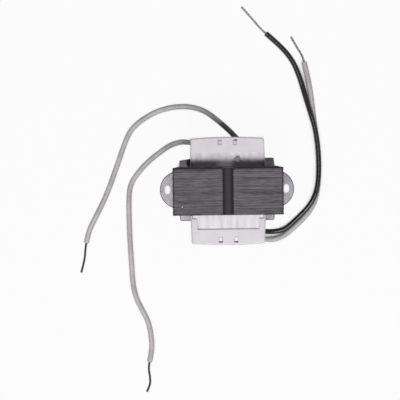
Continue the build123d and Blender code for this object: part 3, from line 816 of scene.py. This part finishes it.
# The rear lead carries the cover's painted shadow near its exit
pvcCoverShadowed = softPvc("paleGreyPvcCoverShadowed", {**paleGrey, "coverShadowShare": 0.9})
tarnishedStrand = plainMetal(
    "tarnishedTinnedCopperStranded",
    {"colour": "#5a5553", "drift": "#2b2725", "driftMm": 1.4, "metallic": 0.8, "roughness": 0.45},
)
tinnedStrand = plainMetal(
    "tinnedCopperStranded",
    {"colour": "#b5b1b4", "drift": "#85807e", "driftMm": 1.4, "metallic": 0.8, "roughness": 0.4},
)
tinnedSleeve = plainMetal(
    "tinPlatedCopperCrimped",
    {"colour": "#b4b2b2", "drift": "#8f8c8a", "driftMm": 0.8, "metallic": 0.9, "roughness": 0.35},
)
enamelledCopper = plainMetal(
    "enamelledCopperWound",
    {"colour": "#a0562c", "drift": "#7e3d1c", "driftMm": 1.0, "metallic": 0.6, "roughness": 0.35},
)
# The thick varnish is the bead's, which is also painted shade in the gap behind the core
thickVarnishAndShade = bakedVarnish(
    "alkydVarnishThickAndShade", {"colour": "#0d0a0e", "drift": "#1e191f", "driftMm": 2.5, "roughness": 0.45}
)
thinVarnish = bakedVarnish(
    "alkydVarnishThin", {"colour": "#7f7a81", "drift": "#989299", "driftMm": 1.5, "roughness": 0.45}
)

finishes = (
    (varnishedSheet(), ("e_laminations", "i_laminations")),
    (weldSeam(), ("yoke_weld", "joint_weld_left", "joint_weld_right", "plate_weld_front", "plate_weld_rear")),
    (zincPlate(), ("mounting_plate",)),
    (nylonBobbin(), ("bobbin",)),
    (nylonCover(), ("primary_cover", "secondary_cover")),
    (enamelledCopper, ("primary_winding", "secondary_winding")),
    (polyesterWrap(), ("primary_tape", "secondary_tape")),
    (
        tinnedSleeve,
        ("primary_black_splice", "primary_white_splice", "secondary_rear_splice", "secondary_side_splice"),
    ),
)
for material, nodeNames in finishes:
    for nodeName in nodeNames:
        dress(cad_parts[nodeName], material)
for piece, material in ((varnishAndShadeBead, thickVarnishAndShade), (varnishDrop, thinVarnish)):
    dress(piece, material)
leadFinishes = {
    "primary_lead_black": (pvcBlack, "black_pvc", tinnedStrand),
    "primary_lead_white": (pvcWhite, "white_pvc", tinnedStrand),
    "secondary_lead_rear": (pvcCoverShadowed, "pale_grey_pvc", tarnishedStrand),
    "secondary_lead_side": (pvcGrey, "pale_grey_pvc", tarnishedStrand),
}
for leadName, (material, slotName, strandMetal) in leadFinishes.items():
    cord, strands = leads[leadName]
    dress(cord, material)
    dress(strands, strandMetal)
print("materials dressed")


# Floor, lamps and world
studio = {
    "floorSize": 3.0,
    "floorColour": "#b0b0b0",
    "floorWhiteShare": 0.94,
    "contactMm": 6.0,
    "contactRange": (0.3, 0.62),
    "contactSamples": 8,
    "shadeHalf": (coverHigh.x - 0.5 * mm, coverHigh.y - 0.8 * mm),
    "shadeSoft": 2.2 * mm,
    "zenithStrength": 0.38,
    "zenithSine": 0.8,
    "horizonStrength": 0.08,
    "backdropSine": 0.2,
    "backdropFade": 0.1,
    "keyPlace": (0.0, -0.7, 1.4),
    "keySize": (0.9, 0.8),
    "keyWatts": 20.0,
    "fillPlace": (-0.28, 0.05, 1.5),
    "fillSize": (0.22, 0.22),
    "fillWatts": 1.5,
}


def makeFloor(setup):
    half = setup["floorSize"] / 2
    corners = np.array([(-half, -half, 0), (half, -half, 0), (half, half, 0), (-half, half, 0)], float)
    floor = makeMesh("floor", corners, [[0, 1, 2, 3]])
    material, tree, shader, place = startMaterial(
        "paleFloor", Base_Color=setup["floorColour"], Roughness=0.9, Specular_IOR_Level=0.0
    )
    ray = addNode(tree, "ShaderNodeLightPath")
    seen = ray.outputs["Is Camera Ray"]
    for kind in ("Is Transmission Ray", "Is Glossy Ray"):
        either = addNode(tree, "ShaderNodeMath", {0: seen, 1: ray.outputs[kind]}, operation="MAXIMUM")
        seen = either.outputs[0]

    # The floor below the covers stays in their shade, and so does a thin line where a piece touches it
    axes = addNode(tree, "ShaderNodeSeparateXYZ", {0: place})
    beyond = []
    for axis, edge in zip(("X", "Y"), setup["shadeHalf"]):
        offset = addNode(tree, "ShaderNodeMath", {0: axes.outputs[axis]}, operation="ABSOLUTE")
        fade = {
            "Value": offset.outputs[0], "From Min": edge - setup["shadeSoft"],
            "From Max": edge + setup["shadeSoft"],
        }
        beyond.append(addNode(tree, "ShaderNodeMapRange", fade, interpolation_type="SMOOTHSTEP").outputs[0])
    inTheOpen = addNode(tree, "ShaderNodeMath", {0: beyond[0], 1: beyond[1]}, operation="MAXIMUM")
    contact = addNode(
        tree, "ShaderNodeAmbientOcclusion", {"Distance": setup["contactMm"] * mm},
        samples=setup["contactSamples"],
    )
    openShare = addNode(
        tree, "ShaderNodeMapRange",
        {
            "Value": contact.outputs["AO"], "From Min": setup["contactRange"][0],
            "From Max": setup["contactRange"][1], "To Min": 0.0, "To Max": 1.0,
        },
    )
    share = seen
    for part in (inTheOpen.outputs[0], openShare.outputs[0], setup["floorWhiteShare"]):
        share = addNode(tree, "ShaderNodeMath", {0: share, 1: part}, operation="MULTIPLY").outputs[0]
    white = addNode(tree, "ShaderNodeEmission", {"Color": "#ffffff", "Strength": 1.0})
    mixed = addNode(tree, "ShaderNodeMixShader", {0: share, 1: shader.outputs[0], 2: white.outputs[0]})
    tree.links.new(mixed.outputs[0], tree.nodes["Material Output"].inputs["Surface"])
    dress(floor, material)


def makeLamp(name, place, size, watts):
    # A soft box that faces the origin
    data = bpy.data.lights.new(name, "AREA")
    data.shape = "RECTANGLE"
    data.size, data.size_y = size
    data.energy = watts
    lamp = bpy.data.objects.new(name, data)
    bpy.context.scene.collection.objects.link(lamp)
    lamp.location = place
    lamp.rotation_mode = "QUATERNION"
    lamp.rotation_quaternion = (-Vector(place)).to_track_quat("-Z", "Y")


def makeWorld(setup):
    # A white tent that is bright overhead and dim at floor level
    world = bpy.data.worlds.new("studio")
    world.use_nodes = True
    tree = world.node_tree
    direction = addNode(tree, "ShaderNodeTexCoord")
    axes = addNode(tree, "ShaderNodeSeparateXYZ", {0: direction.outputs["Generated"]})
    glow = addNode(
        tree, "ShaderNodeMapRange",
        {
            "Value": axes.outputs["Z"], "From Min": 0.0, "From Max": setup["zenithSine"],
            "To Min": setup["horizonStrength"], "To Max": setup["zenithStrength"],
        },
    )

    # The backdrop is seen white, and is mirrored white up to its own height
    ray = addNode(tree, "ShaderNodeLightPath")
    low = addNode(
        tree, "ShaderNodeMapRange",
        {
            "Value": axes.outputs["Z"], "From Min": setup["backdropSine"],
            "From Max": setup["backdropSine"] + setup["backdropFade"], "To Min": 1.0, "To Max": 0.0,
        },
    )
    mirrored = addNode(
        tree, "ShaderNodeMath", {0: ray.outputs["Is Glossy Ray"], 1: low.outputs[0]}, operation="MULTIPLY"
    )
    shown = mirrored.outputs[0]
    for kind in ("Is Camera Ray", "Is Transmission Ray"):
        either = addNode(tree, "ShaderNodeMath", {0: shown, 1: ray.outputs[kind]}, operation="MAXIMUM")
        shown = either.outputs[0]
    strength = addNode(
        tree, "ShaderNodeMapRange",
        {"Value": shown, "From Min": 0.0, "From Max": 1.0, "To Min": glow.outputs[0], "To Max": 1.0},
    )
    tree.nodes["Background"].inputs["Color"].default_value = (1, 1, 1, 1)
    tree.links.new(strength.outputs[0], tree.nodes["Background"].inputs["Strength"])
    bpy.context.scene.world = world


makeFloor(studio)
makeLamp("keyLight", studio["keyPlace"], studio["keySize"], studio["keyWatts"])
makeLamp("fillLight", studio["fillPlace"], studio["fillSize"], studio["fillWatts"])
makeWorld(studio)
bpy.context.scene.view_settings.view_transform = "Standard"
print("studio lit")

bpy.context.view_layer.update()
